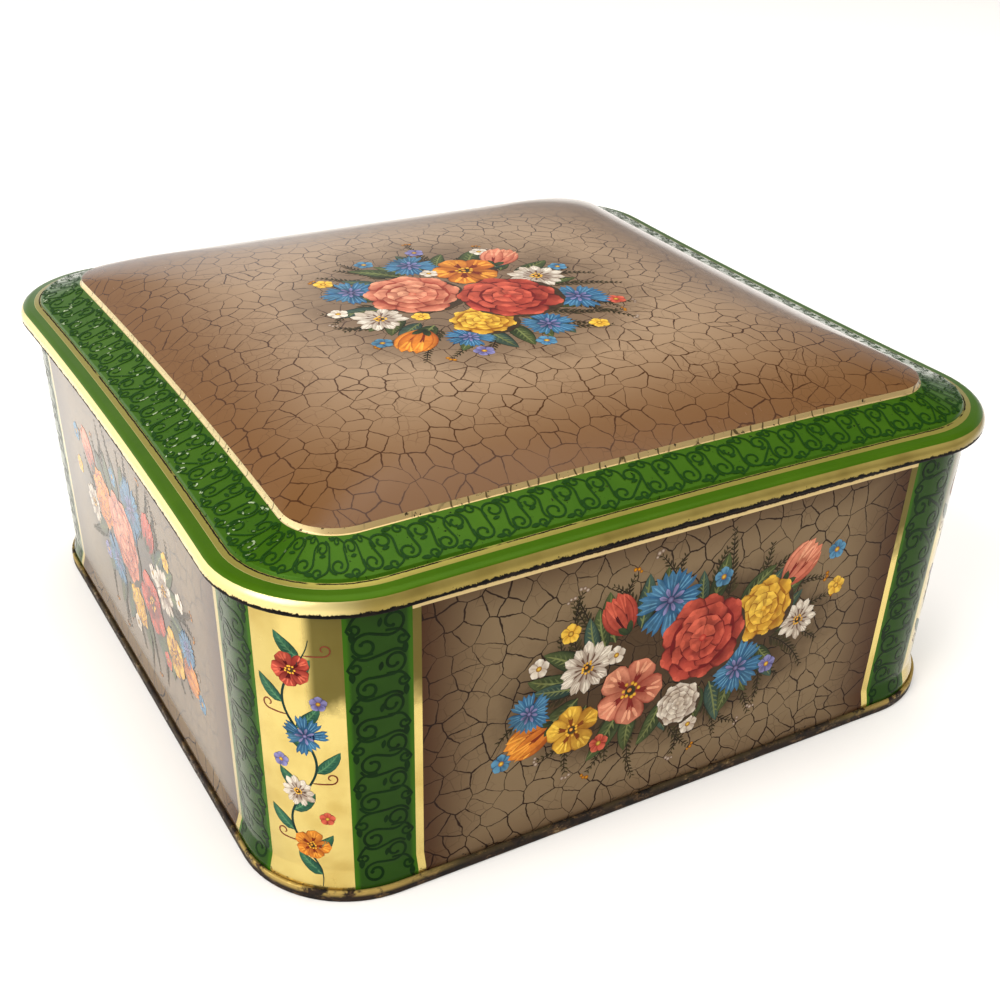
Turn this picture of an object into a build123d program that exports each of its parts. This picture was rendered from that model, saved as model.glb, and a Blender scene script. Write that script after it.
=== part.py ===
from build123d import *
from math import asin, atan2, ceil, cos, degrees, hypot, radians, sin
import os

# Square tin box with a domed, hinged lid, pressed and folded from tinplate.
# Millimetres. +Z is up, the front faces -Y and the hinge is at the back (+Y).
# The origin lies at the middle of the foot, on the surface that the box stands on.
#
# Every section is drawn as (out, height): out is measured from the outer face of the
# straight wall, positive away from the box. A section is then carried round the plan.
# Its bends and curls are short straights that lie round the true arc, so that the
# corners keep few facets.

# Sheet
sheet = 0.3
fold_gap = 0.02
arc_step = 60.0

# Plan
body_width = 200.0
corner_radius = 26.0
lid_side_hollow = 1.2

# Foot of the wall and double seam
seam_height = 3.2
foot_flare = 1.1
flare_bottom = 4.4
flare_top = 8.0
body_hook_bottom = 0.47
body_hook_end = 2.5
bottom_hook_end = 1.1

# Top edge of the wall
neck_depth = 1.6
neck_height = 2.4
neck_bottom_drop = 3.6
top_curl_radius = 1.25
top_curl_turn = 240.0

# Lock seam up the back of the wall
lock_seam_width = 5.0
lock_seam_thickness = 0.9
lock_seam_bend = 0.4
lock_seam_groove_width = 0.5
lock_seam_groove_depth = 0.12
lock_seam_end_gap = 0.6

# Bottom plate
countersink = 3.4
bead_inset = 8.0
bead_width = 4.0
bead_rise = 0.7

# Lid
hinge_height = 80.4
lid_overhang = 3.9
rim_curl_turn = 240.0
shoulder_height = 3.5
shoulder_radius = 2.9
shoulder_turn = 84.0
ledge_inset = 2.7
ledge_slope = 0.6
step_run = 0.3
step_rise = 0.7
border_width = 10.9
border_rise = 3.4
riser_run = 0.4
riser_rise = 1.3
dome_rise = 9.0
dome_power = 5
dome_lip = 2.0
dome_roundness = 0.85
dome_bend_share = 0.6
dome_overrun_share = 0.25
dome_inset_shares = (0.175, 0.35, 0.58)
seat_gap = 0.5

# Hinge: a wire in the lid's rear curl, held by two lugs soldered on the wall
wire_diameter = 1.4
wire_length = 140.0
wire_curl_gap = 0.1
wire_lug_gap = 0.05
lug_width = 14.0
lug_end_distance = 25.0
lug_leaf_length = 13.0
lug_bend_drop = 4.4
lug_corner_radius = 5.0
lug_mouth = 65.0
notch_side_gap = 0.5
notch_radial_gap = 0.3


class Plan:
    """A rounded square whose sides may be slightly hollow, as a path for sections."""

    def __init__(self, width, radius, hollows):
        self.half = width / 2
        self.radius = radius
        self.centre = self.half - radius
        self.hollows = hollows

    def side_reach(self, hollow):
        """Distance from a corner's centre to the far centre of a hollow side."""
        return (self.centre**2 + hollow**2) / (2 * hollow)

    def side_lean(self, side):
        """Angle by which the hollow of a side turns its neighbouring corners on."""
        hollow = self.hollows[side % 4]
        return degrees(asin(self.centre / self.side_reach(hollow))) if hollow else 0.0

    def section_plane(self, origin, out_angle):
        """Plane whose X runs along out_angle and whose Y is up."""
        angle = radians(out_angle)
        return Plane(origin, x_dir=(cos(angle), sin(angle), 0), z_dir=(sin(angle), -cos(angle), 0))

    def corner_piece(self, section, side):
        """The section carried round the corner between a side and the next."""
        middle = radians(90 * side + 45)
        reach = self.centre * 2**0.5
        centre = (reach * cos(middle), reach * sin(middle), 0)
        start = 90 * side - self.side_lean(side)
        turn = 90 + self.side_lean(side) + self.side_lean(side + 1)
        placed = self.section_plane(centre, start) * Pos(self.radius, 0) * section
        return revolve(placed, Axis(centre, (0, 0, 1)), turn)

    def side_piece(self, section, side):
        """The section carried along a straight or hollow side."""
        out_angle = 90 * side
        hollow = self.hollows[side]
        if not hollow:
            out = Vector(1, 0, 0).rotate(Axis.Z, out_angle)
            along = Vector(0, 1, 0).rotate(Axis.Z, out_angle)
            start = out * self.half - along * self.centre
            placed = self.section_plane(start, out_angle) * section
            return extrude(placed, 2 * self.centre, dir=along)
        reach = self.side_reach(hollow)
        lean = self.side_lean(side)
        far = self.centre + reach * cos(radians(lean))
        far_centre = Vector(far, 0, 0).rotate(Axis.Z, out_angle)
        wall_distance = reach - self.radius
        start_angle = out_angle - lean
        placed = self.section_plane(far_centre, start_angle) * Pos(-wall_distance, 0) * section
        return revolve(placed, Axis(far_centre, (0, 0, 1)), 2 * lean)

    def ring(self, section):
        """One solid: the section carried all the way round."""
        pieces = [self.corner_piece(section, side) for side in range(4)]
        pieces += [self.side_piece(section, side) for side in range(4)]
        return pieces[0].fuse(*pieces[1:])

    def outline(self, out, height):
        """The closed outline at a distance out of the wall and a height."""
        corners = []
        for side in range(4):
            middle = radians(90 * side + 45)
            reach = self.centre * 2**0.5
            centre = (reach * cos(middle), reach * sin(middle))
            start = 90 * side - self.side_lean(side)
            turn = 90 + self.side_lean(side) + self.side_lean(side + 1)
            corners.append(CenterArc(centre, self.radius + out, start, turn))
        sides = []
        for side, hollow in enumerate(self.hollows):
            begin = corners[side - 1] @ 1
            end = corners[side] @ 0
            middle_out = Vector(self.half - hollow + out, 0).rotate(Axis.Z, 90 * side)
            sides.append(ThreePointArc(begin, middle_out, end) if hollow else Line(begin, end))
        return Pos(0, 0, height) * Wire([line.edge() for line in corners + sides])


def sheet_along(*points):
    """The cut face of a sheet whose middle follows straights from point to point."""
    return trace(Polyline(*points), sheet)


def round_arc(centre, radius, start, turn):
    """Corners of the straights that lie round an arc, and the point where the arc ends."""
    count = ceil(abs(turn) / arc_step)
    step = radians(turn / count)
    reach = radius / cos(step / 2)
    turns = [(reach, radians(start) + (number + 0.5) * step) for number in range(count)]
    turns.append((radius, radians(start + turn)))
    return [(centre[0] + away * cos(angle), centre[1] + away * sin(angle)) for away, angle in turns]


body_plan = Plan(body_width, corner_radius, (0, 0, 0, 0))
lid_plan = Plan(body_width, corner_radius, (lid_side_hollow, 0, lid_side_hollow, lid_side_hollow))

# Sizes that follow from the lid's section
rim_curl_radius = wire_diameter / 2 + wire_curl_gap + sheet
hinge_out = lid_overhang - rim_curl_radius
ledge_height = hinge_height + shoulder_height + ledge_slope
border_top = ledge_height + step_rise + border_rise
riser_out = -ledge_inset - step_run - border_width
dome_edge_out = riser_out - riser_run
dome_edge_height = border_top + riser_rise
dome_half = body_width / 2 + dome_edge_out
dome_edge_radius = corner_radius + dome_edge_out
dome_overrun = dome_overrun_share * dome_edge_radius
dome_insets = [0.0, dome_bend_share * dome_edge_radius]
dome_insets += [share * dome_half for share in dome_inset_shares]
lip_out = dome_edge_out - dome_lip

# Sizes that follow from the wall's section
lay = sheet + fold_gap
foot_out = foot_flare - sheet / 2
neck_top = ledge_height - sheet - seat_gap - top_curl_radius
neck_bottom = neck_top - neck_bottom_drop

# Places of the lugs, in from the ends of the wire
lug_spacing = wire_length - 2 * lug_end_distance


def dome_height(inset):
    """Height of the pillow dome at a distance in from its edge."""
    return dome_edge_height + dome_rise * (1 - (1 - inset / dome_half) ** dome_power)


def dome_slope(low, high):
    """Slope of the straight from one inset of the dome to the next."""
    return (dome_height(high) - dome_height(low)) / (high - low)


def upright_depth(slope):
    """Thickness of a sloping sheet, measured upright."""
    return sheet * hypot(1, slope)


def build_body_wall():
    """Side strip: foot hook, flare, wall, neck and inward curl, with its lock seam."""
    wall_line = -sheet / 2
    neck_line = wall_line - neck_depth
    curl_line = top_curl_radius - sheet / 2
    strip = sheet_along(
        (foot_out + 2 * lay, body_hook_end),
        (foot_out + 2 * lay, body_hook_bottom),
        (foot_out, body_hook_bottom),
        (foot_out, flare_bottom),
        (wall_line, flare_top),
        (wall_line, neck_bottom),
        (neck_line, neck_bottom + neck_height),
        *round_arc((neck_line - curl_line, neck_top), curl_line, 0, top_curl_turn),
    )
    return body_plan.ring(strip) + lock_seam() - lock_seam_groove()


def lock_seam_span():
    """Lower end and length of the lock seam."""
    low = flare_top + lock_seam_end_gap
    return low, neck_bottom - lock_seam_end_gap - low


def lock_seam():
    """The folded layers that stand in from the back wall."""
    low, length = lock_seam_span()
    folds = Box(lock_seam_width, lock_seam_thickness, length, align=(Align.CENTER, Align.MAX, Align.MIN))
    inner_edges = folds.edges().filter_by(Axis.Z).group_by(Axis.Y)[0]
    folds = fillet(inner_edges, lock_seam_bend)
    return Pos(0, body_width / 2 - sheet, low) * folds


def lock_seam_groove():
    """The line that the fold leaves on the printed side."""
    low, length = lock_seam_span()
    groove = Box(
        lock_seam_groove_width,
        2 * lock_seam_groove_depth,
        length,
        align=(Align.CENTER, Align.CENTER, Align.MIN),
    )
    return Pos(lock_seam_width / 2, body_width / 2, low) * groove


def build_bottom_plate():
    """Countersunk panel with a stiffening bead and the outer folds of the double seam."""
    panel_line = countersink - sheet / 2
    raised_line = panel_line + bead_rise
    low_line = sheet / 2
    fold_line = seam_height - sheet / 2
    bead_out = foot_out - bead_inset
    panel_end = bead_out - 2 * bead_width
    plate = sheet_along(
        (panel_end, raised_line),
        (bead_out - bead_width, raised_line),
        (bead_out, panel_line),
        (foot_out - lay, panel_line),
        (foot_out - lay, low_line),
        (foot_out + 3 * lay, low_line),
        (foot_out + 3 * lay, fold_line),
        (foot_out + lay, fold_line),
        (foot_out + lay, bottom_hook_end),
    )
    panel = extrude(make_face(body_plan.outline(panel_end, raised_line - sheet / 2)), sheet)
    return body_plan.ring(plate) + panel


def lid_rim():
    """Everything of the lid's stamping outside the dome, with the curl at its edge."""
    half_sheet = sheet / 2
    skirt_line = lid_overhang - half_sheet
    curl_line = rim_curl_radius - half_sheet
    shoulder_line = shoulder_radius - half_sheet
    curl = round_arc((hinge_out, hinge_height), curl_line, 0, -rim_curl_turn)
    shoulder_centre = (skirt_line - shoulder_line, ledge_height - ledge_slope - half_sheet - shoulder_line)
    shoulder = round_arc(shoulder_centre, shoulder_line, 0, shoulder_turn)
    slope = dome_slope(*dome_insets[:2])
    dome_line = dome_edge_height - upright_depth(slope) / 2
    press = sheet_along(
        *reversed(curl),
        *shoulder[:-1],
        (-ledge_inset, ledge_height - half_sheet),
        (-ledge_inset - step_run, ledge_height + step_rise - half_sheet),
        (riser_out, border_top - half_sheet),
        (dome_edge_out, dome_line),
        (dome_edge_out - 2 * dome_lip, dome_line + 2 * dome_lip * slope),
    )
    inside = Rectangle(2 * dome_lip, 2 * dome_edge_height, align=(Align.MAX, Align.MIN))
    return lid_plan.ring(press - Pos(lip_out, 0) * inside)


def dome_stump(low, high, base, drop):
    """Rounded stump whose sloping sides pass through the dome's profile at two insets."""
    slope = dome_slope(low, high)
    spread = (dome_height(low) - drop * upright_depth(slope) - base) / slope
    radius = dome_edge_radius + dome_roundness * low / dome_half * (dome_half - low - dome_edge_radius)
    hollows = (0, 0, 0, 0) if low else lid_plan.hollows
    plan = Plan(2 * (dome_half - low + spread), radius + spread, hollows)
    run = spread + high - low + dome_overrun
    side = make_face(Polyline((0, base), (-run, base + run * slope), (-run, base), close=True))
    core = extrude(make_face(plan.outline(-run, base)), dome_rise)
    return plan.ring(side) + core


def dome_solid(drop):
    """Everything under the dome's outer face, or its inner face where drop is 1."""
    slope = dome_slope(*dome_insets[:2])
    base = dome_edge_height + dome_lip * slope - upright_depth(slope)
    crown = dome_edge_height + dome_rise - drop * sheet
    solid = extrude(make_face(lid_plan.outline(lip_out, base)), crown - base)
    for low, high in zip(dome_insets, dome_insets[1:]):
        solid &= dome_stump(low, high, base, drop)
    return solid


def build_lid_shell():
    """Stamped lid, its rear curl notched round the hinge lugs."""
    notch_radius = wire_diameter / 2 + wire_lug_gap + sheet + notch_radial_gap
    notch = Cylinder(notch_radius, lug_width + 2 * notch_side_gap, rotation=(0, 90, 0))
    lid = lid_rim() + dome_solid(0) - dome_solid(1)
    for across in (-lug_spacing / 2, lug_spacing / 2):
        lid -= Pos(across, body_width / 2 + hinge_out, hinge_height) * notch
    return lid


def build_hinge_wire():
    """Straight wire in the lid's rear curl."""
    wire = Cylinder(wire_diameter / 2, wire_length, rotation=(0, 90, 0))
    return Pos(0, body_width / 2 + hinge_out, hinge_height) * wire


def build_hinge_lug(across):
    """Tab on the back wall: a leaf, then a slant that runs into a loop round the wire."""
    loop_line = wire_diameter / 2 + wire_lug_gap + sheet / 2
    leaf_out = fold_gap + sheet / 2
    bend_height = hinge_height - lug_bend_drop
    run = hinge_out - leaf_out
    reach = hypot(run, lug_bend_drop)
    slant = degrees(atan2(lug_bend_drop, run)) - degrees(asin(loop_line / reach))
    strip = sheet_along(
        (leaf_out, bend_height - lug_leaf_length),
        (leaf_out, bend_height),
        *round_arc((hinge_out, hinge_height), loop_line, slant - 90, 360 - lug_mouth),
    )
    section = Plane((0, body_width / 2, 0), x_dir=(0, 1, 0), z_dir=(1, 0, 0)) * strip
    lug = extrude(section, lug_width / 2, both=True)
    low_edges = lug.edges().filter_by(Axis.Y).group_by(Axis.Z)[0]
    return Pos(across, 0, 0) * fillet(low_edges, lug_corner_radius)


def main():
    os.makedirs("parts", exist_ok=True)
    nodes = {
        "body_wall": build_body_wall(),
        "bottom_plate": build_bottom_plate(),
        "lid_shell": build_lid_shell(),
        "hinge_wire": build_hinge_wire(),
        "hinge_lug_left": build_hinge_lug(-lug_spacing / 2),
        "hinge_lug_right": build_hinge_lug(lug_spacing / 2),
    }
    for name, solid in nodes.items():
        export_step(solid, f"parts/{name}.step")


main()
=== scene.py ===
import random
from math import acos, asin, atan2, ceil, cos, hypot, log, pi, radians, sin, tan

import bmesh
import bpy
from mathutils import Matrix, Vector
from mathutils.bvhtree import BVHTree


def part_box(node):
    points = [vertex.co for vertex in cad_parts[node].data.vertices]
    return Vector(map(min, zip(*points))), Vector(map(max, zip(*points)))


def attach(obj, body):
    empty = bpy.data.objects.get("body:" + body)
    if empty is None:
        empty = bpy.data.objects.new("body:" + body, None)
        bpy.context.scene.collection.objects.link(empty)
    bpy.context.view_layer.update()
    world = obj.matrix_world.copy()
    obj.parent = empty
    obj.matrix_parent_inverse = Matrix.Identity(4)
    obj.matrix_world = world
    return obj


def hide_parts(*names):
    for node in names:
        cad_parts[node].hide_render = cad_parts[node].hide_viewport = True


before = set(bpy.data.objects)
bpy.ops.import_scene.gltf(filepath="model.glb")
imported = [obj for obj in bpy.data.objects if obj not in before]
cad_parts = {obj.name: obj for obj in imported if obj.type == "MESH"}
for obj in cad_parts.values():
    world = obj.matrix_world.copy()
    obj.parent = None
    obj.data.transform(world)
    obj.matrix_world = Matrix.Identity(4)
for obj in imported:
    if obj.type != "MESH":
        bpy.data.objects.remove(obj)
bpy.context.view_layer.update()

# Tin box with a domed, hinged lid. Lengths below are millimetres unless a line says otherwise.
# The frame is the CAD's: +Z up, the front faces -Y, the hinge is at the back.
MM = 0.001

# Sizes shared with the CAD source
SHEET = 0.3
HALF = 100.0
CORNER = 26.0
SIDE = 148.0
CORNER_RUN = 40.84
QUARTER = SIDE + CORNER_RUN
LID_HOLLOW = 1.2
DOME_EDGE = 89.9
DOME_HALF = 85.7
DOME_RADIUS = 11.7
DOME_RISE = 8.75
DOME_POWER = 5
NECK_TOP = 82.45
NECK_LOW = 78.85
SEAM_GROOVE = -2.45
HINGE_OUT = 2.8
HINGE_HEIGHT = 80.4
PANEL_EDGE = 0.5
LUG_PLACE = 45.0
LUG_HALF = 7.0
LUG_ROUNDING = 5.0
LUG_LEAF = 13.0
LUG_DROP = 4.4
LUG_OUT = 0.17
LOOP_RADIUS = 0.9
NOTCH_HALF = 7.5
NOTCH_RADIUS = 1.35

# Fineness of the meshes
SIDE_STEP, CORNER_STEPS = 4.0, 18
LID_SIDE_COUNT, LID_CORNER_COUNT = 60, 16


# Plan of the box and of the lid
class Plan:
    """A rounded square, sides perhaps hollow, as stations (point, outward direction)."""

    def __init__(self, half, corner, hollows):
        self.half, self.corner = half, corner
        self.centre = half - corner
        square = self.centre ** 2
        self.reach = [(square + hollow ** 2) / (2 * hollow) if hollow else 0.0 for hollow in hollows]
        self.lean = [asin(self.centre / reach) if reach else 0.0 for reach in self.reach]
        self.turn = [pi / 2 + here + beyond for here, beyond in zip(self.lean, self.lean[1:] + self.lean[:1])]
        self.parts = []
        for side in range(4):
            straight = 2 * self.centre
            curved = 2 * self.lean[side] * (self.reach[side] - corner)
            self.parts.append((self.side_station, side, curved if hollows[side] else straight))
            self.parts.append((self.corner_station, side, corner * self.turn[side]))
        self.length = sum(part[2] for part in self.parts)

    def side_station(self, side, share):
        point, out = (self.half, self.centre * (2 * share - 1)), (1.0, 0.0)
        if self.lean[side]:
            angle = self.lean[side] * (2 * share - 1)
            far = self.centre + self.reach[side] * cos(self.lean[side])
            away = self.reach[side] - self.corner
            point, out = (far - away * cos(angle), away * sin(angle)), (cos(angle), -sin(angle))
        return spin(point, side * pi / 2), spin(out, side * pi / 2)

    def corner_station(self, side, share):
        angle = side * pi / 2 - self.lean[side] + share * self.turn[side]
        middle = spin((self.centre, self.centre), side * pi / 2)
        return polar(middle, self.corner, angle), polar((0, 0), 1, angle)

    def stations(self, extra=()):
        """Stations all the way round, each with its distance from the start of side 0."""
        found, run = [], 0.0
        for place, side, length in self.parts:
            on_side = place == self.side_station
            count = ceil(length / SIDE_STEP) if on_side else CORNER_STEPS
            shares = [number / count for number in range(count)]
            shares += [share for where, share in extra if on_side and where == side]
            for share in sorted(set(shares)):
                found.append((*place(side, share), run + share * length))
            run += length
        return found

    def counted_stations(self):
        """The same number of stations for any plan, so that the lid's rings join."""
        found = []
        for place, side, length in self.parts:
            count = LID_SIDE_COUNT if place == self.side_station else LID_CORNER_COUNT
            found += [(*place(side, number / count), 0.0) for number in range(count)]
        return found

    def at(self, distance):
        """Station at a distance along the plan."""
        distance %= self.length
        for place, side, length in self.parts:
            if distance <= length:
                return place(side, distance / length)
            distance -= length
        return self.side_station(0, 0.0)


def spin(point, angle):
    c, s = cos(angle), sin(angle)
    return (point[0] * c - point[1] * s, point[0] * s + point[1] * c)


def polar(centre, reach, angle):
    return (centre[0] + reach * cos(angle), centre[1] + reach * sin(angle))


# Sections
def arc(centre, radius, start, turn, step):
    count = max(2, ceil(abs(turn) / step))
    return [polar(centre, radius, radians(start + turn * number / count)) for number in range(count + 1)]


def rounded(points, radius, step):
    """A line through points whose inner corners are rounded."""
    path = [points[0]]
    for before, here, after in zip(points, points[1:], points[2:]):
        a = Vector(before) - Vector(here)
        b = Vector(after) - Vector(here)
        turn = pi - a.angle(b)
        cut_back = min(radius * tan(turn / 2), 0.45 * a.length, 0.45 * b.length)
        count = max(1, ceil(turn / radians(step)))
        start, end = Vector(here) + a.normalized() * cut_back, Vector(here) + b.normalized() * cut_back
        for number in range(count + 1):
            t = number / count
            path.append(tuple(start * (1 - t) ** 2 + Vector(here) * 2 * t * (1 - t) + end * t ** 2))
    path.append(points[-1])
    return path


def offset(path, distance):
    """The line moved sideways, to the left of its direction."""
    moved_line = []
    for number, point in enumerate(path):
        before = Vector(path[max(number - 1, 0)])
        after = Vector(path[min(number + 1, len(path) - 1)])
        here = Vector(point)
        d1 = (here - before).normalized() if number else (after - here).normalized()
        d2 = (after - here).normalized() if number < len(path) - 1 else d1
        n1, n2 = Vector((-d1.y, d1.x)), Vector((-d2.y, d2.x))
        mid = (n1 + n2).normalized()
        moved_line.append(tuple(here + mid * distance / max(mid.dot(n1), 0.5)))
    return moved_line


def lengths(path):
    run, found = 0.0, [0.0]
    for a, b in zip(path, path[1:]):
        run += hypot(b[0] - a[0], b[1] - a[1])
        found.append(run)
    return found


def section_ring(stations, out, height):
    return [(p[0] + n[0] * out, p[1] + n[1] * out, height) for p, n, run in stations]


# Mesh helpers
def mesh_object(name, points, faces):
    mesh = bpy.data.meshes.new(name)
    mesh.from_pydata([tuple(c * MM for c in p) for p in points], [], faces)
    mesh.update()
    made = bpy.data.objects.new(name, mesh)
    bpy.context.scene.collection.objects.link(made)
    return made


def new_piece(name, points, faces, body, materials):
    """A smooth piece that rides on a body."""
    made = mesh_object(name, points, faces)
    for material in materials:
        made.data.materials.append(material)
    made.data.polygons.foreach_set("use_smooth", [True] * len(made.data.polygons))
    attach(made, body)
    return made


def float_layer(made, name, values):
    made.data.attributes.new(name, "FLOAT", "POINT").data.foreach_set("value", values)


def ring_mesh(rings, ends="fan"):
    """Quads between rings of equally many points. The ends are closed by a fan, joined or left open."""
    count = len(rings[0])
    points = [p for ring in rings for p in ring]
    faces = []
    for row in range(len(rings) if ends == "joined" else len(rings) - 1):
        start, following = row * count, (row + 1) % len(rings) * count
        for number in range(count):
            ahead = (number + 1) % count
            faces.append((start + number, start + ahead, following + ahead, following + number))
    if ends == "fan":
        for row, flip in ((0, True), (len(rings) - 1, False)):
            points.append(tuple(sum(p[axis] for p in rings[row]) / count for axis in range(3)))
            for number in range(count):
                a, b = row * count + number, row * count + (number + 1) % count
                faces.append((b, a, len(points) - 1) if flip else (a, b, len(points) - 1))
    return points, faces


def cut(made, cutter):
    """Takes the cutter's volume away and removes the cutter."""
    modifier = made.modifiers.new("cut", "BOOLEAN")
    modifier.operation = "DIFFERENCE"
    modifier.solver = "EXACT"
    modifier.object = cutter
    depsgraph = bpy.context.evaluated_depsgraph_get()
    mesh = bpy.data.meshes.new_from_object(made.evaluated_get(depsgraph))
    made.modifiers.clear()
    old = made.data
    made.data = mesh
    bpy.data.meshes.remove(old)
    bpy.data.objects.remove(cutter)


def face_outwards(made):
    bm = bmesh.new()
    bm.from_mesh(made.data)
    bmesh.ops.recalc_face_normals(bm, faces=bm.faces)
    bm.to_mesh(made.data)
    bm.free()


def finish_skin(made, node):
    """Keeps sharp folds crisp and stands for a CAD node."""
    made.data.set_sharp_from_angle(angle=radians(32))
    if node:
        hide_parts(node)
    return made


# Colours, given as they look on a screen
def rgb(red, green, blue):
    def linear(value):
        value /= 255
        return value / 12.92 if value <= 0.04045 else ((value + 0.055) / 1.055) ** 2.4
    return (linear(red), linear(green), linear(blue), 1.0)


# Materials
class Nodes:
    """Short ways to add nodes to a tree."""

    def __init__(self, tree):
        self.tree = tree

    def add(self, kind, inputs=(), **settings):
        made = self.tree.nodes.new(kind)
        for key, value in settings.items():
            setattr(made, key, value)
        for key, value in dict(inputs).items():
            self.put(made.inputs[key], value)
        return made

    def put(self, socket, value):
        if isinstance(value, bpy.types.NodeSocket):
            self.tree.links.new(value, socket)
        else:
            socket.default_value = value

    def coords(self):
        return self.add("ShaderNodeTexCoord").outputs["Object"]

    def axis(self, vector, number):
        return self.add("ShaderNodeSeparateXYZ", {0: vector}).outputs[number]

    def attribute(self, name, output="Fac"):
        return self.add("ShaderNodeAttribute", attribute_name=name).outputs[output]

    def math(self, operation, a, b=0.0):
        return self.add("ShaderNodeMath", {0: a, 1: b}, operation=operation).outputs[0]

    def times(self, a, b):
        return self.math("MULTIPLY", a, b)

    def plus(self, a, b):
        return self.math("ADD", a, b)

    def minus(self, a, b):
        return self.math("SUBTRACT", a, b)

    def most(self, a, b):
        return self.math("MAXIMUM", a, b)

    def least(self, a, b):
        return self.math("MINIMUM", a, b)

    def mix(self, share, a, b, blend="MIX"):
        made = self.add("ShaderNodeMix", {0: share, 6: a, 7: b}, data_type="RGBA", blend_type=blend)
        return made.outputs[2]

    def stain(self, share, colour, tint):
        """The colour, in part multiplied by a tint."""
        return self.mix(share, colour, self.mix(1.0, colour, tint, "MULTIPLY"))

    def between(self, share, a, b):
        return self.add("ShaderNodeMix", {0: share, 2: a, 3: b}, data_type="FLOAT").outputs[0]

    def noise(self, vector, scale, detail=2.0, roughness=0.5, output="Fac"):
        inputs = {"Vector": vector, "Scale": scale, "Detail": detail, "Roughness": roughness}
        return self.add("ShaderNodeTexNoise", inputs).outputs[output]

    def uneven(self, vector, scale, detail, roughness, amount):
        """Noise about zero."""
        return self.times(self.minus(self.noise(vector, scale, detail, roughness), 0.5), amount)

    def rise(self, value, low, high):
        """0 below low, 1 above high, smooth between. Where low is the higher, it falls."""
        made = self.add("ShaderNodeMapRange", {"Value": value, "From Min": low, "From Max": high},
                        interpolation_type="SMOOTHSTEP")
        return made.outputs["Result"]

    def span(self, value, low, high):
        """1 between low and high."""
        above = self.rise(value, low - 0.05, low + 0.05)
        return self.times(above, self.rise(value, high + 0.05, high - 0.05))

    def warp(self, vector, scale, amount):
        """The vector pushed about by noise, amount in metres."""
        push = self.noise(vector, scale, output="Color")
        centred = self.vector_math("SUBTRACT", {0: push, 1: (0.5, 0.5, 0.5)})
        shift = self.vector_math("SCALE", {0: centred, "Scale": amount})
        return self.vector_math("ADD", {0: vector, 1: shift})

    def vector_math(self, operation, inputs):
        return self.add("ShaderNodeVectorMath", inputs, operation=operation).outputs[0]

    def stretch(self, vector, scale):
        return self.vector_math("MULTIPLY", {0: vector, 1: scale})

    def edges(self, vector, scale):
        """Distance from the sides of irregular flat cells."""
        made = self.add("ShaderNodeTexVoronoi", {"Vector": vector, "Scale": scale},
                        feature="DISTANCE_TO_EDGE", voronoi_dimensions="2D")
        return made.outputs["Distance"]

    def dots(self, vector, scale, share, size):
        """Sparse round specks: share of the cells, size against a cell."""
        made = self.add("ShaderNodeTexVoronoi", {"Vector": vector, "Scale": scale})
        near = self.rise(made.outputs["Distance"], size, size * 0.5)
        drawn = self.add("ShaderNodeSeparateColor", {0: made.outputs["Color"]}).outputs[0]
        return self.times(near, self.math("LESS_THAN", drawn, share))


class Look(Nodes):
    """One procedural material."""

    def __init__(self, name):
        self.material = bpy.data.materials.new(name)
        self.material.use_nodes = True
        super().__init__(self.material.node_tree)
        self.shader = self.tree.nodes["Principled BSDF"]

    def set(self, **values):
        for key, value in values.items():
            self.put(self.shader.inputs[key.replace("_", " ").title().replace("Ior", "IOR")], value)

    def bump(self, height, strength, distance):
        made = self.add("ShaderNodeBump", {"Height": height, "Strength": strength, "Distance": distance})
        self.put(self.shader.inputs["Normal"], made.outputs["Normal"])


def crackle(look, flat, centre, rim, dark, share, density):
    """Painted craquelure in a flat (x, y) vector, on a ground that darkens towards the panel's edges."""
    mottle = look.noise(look.coords(), 45.0, 4.0, 0.6)
    ground = look.mix(share, centre, rim)
    ground = look.mix(look.times(mottle, 0.35), ground, look.mix(0.5, ground, rim))
    bent = look.warp(look.warp(flat, 75.0, 0.0042), 420.0, 0.001)
    weight = look.noise(flat, 90.0, 3.0, 0.6)
    wide = look.between(look.rise(weight, 0.35, 0.65), 0.026, 0.052)
    main = look.minus(1.0, look.rise(look.edges(bent, density), look.times(wide, 0.4), wide))
    fine = look.edges(look.warp(look.warp(flat, 110.0, 0.003), 420.0, 0.0009), density * 1.6)
    patches = look.rise(look.noise(flat, 80.0), 0.46, 0.6)
    fine = look.times(look.minus(1.0, look.rise(fine, 0.012, 0.05)), look.times(patches, 0.32))
    strength = look.between(look.rise(weight, 0.3, 0.55), 0.66, 0.95)
    return look.mix(look.most(look.times(main, strength), fine), ground, dark)


def away_from(look, x, y, centre, reach):
    """1 on an ellipse round a centre, 0 in its middle, its outline broken by noise."""
    across = look.math("DIVIDE", look.minus(x, centre[0]), reach[0])
    along = look.math("DIVIDE", look.minus(y, centre[1]), reach[1])
    away = look.math("SQRT", look.plus(look.times(across, across), look.times(along, along)))
    return look.plus(away, look.uneven(look.coords(), 70.0, 4.0, 0.6, 0.5))


def varnish(look, level=0.07):
    """Uneven gloss with a faint orange peel: the roughness, and a coat for grazing angles."""
    where = look.coords()
    rubs = look.noise(look.stretch(where, (1.0, 0.25, 1.0)), 900.0, 2.0, 0.6)
    rough = look.plus(0.24, look.uneven(where, 30.0, 4.0, 0.65, 0.16))
    rough = look.plus(rough, look.times(look.rise(rubs, 0.66, 0.8), 0.05))
    look.bump(look.noise(where, 700.0), 0.05, 0.0003)
    facing = look.add("ShaderNodeLayerWeight").outputs["Facing"]
    look.set(coat_roughness=0.1, specular_ior_level=level)
    return rough, look.times(look.rise(facing, 0.45, 0.9), 0.8)


def chipped(look, scale, share):
    """Small chips, more of them where the mesh's wear is high."""
    wear = look.times(look.attribute("wear"), share)
    return look.rise(look.plus(look.noise(look.coords(), scale, 4.0, 0.75), wear), 0.735, 0.76)


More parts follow.
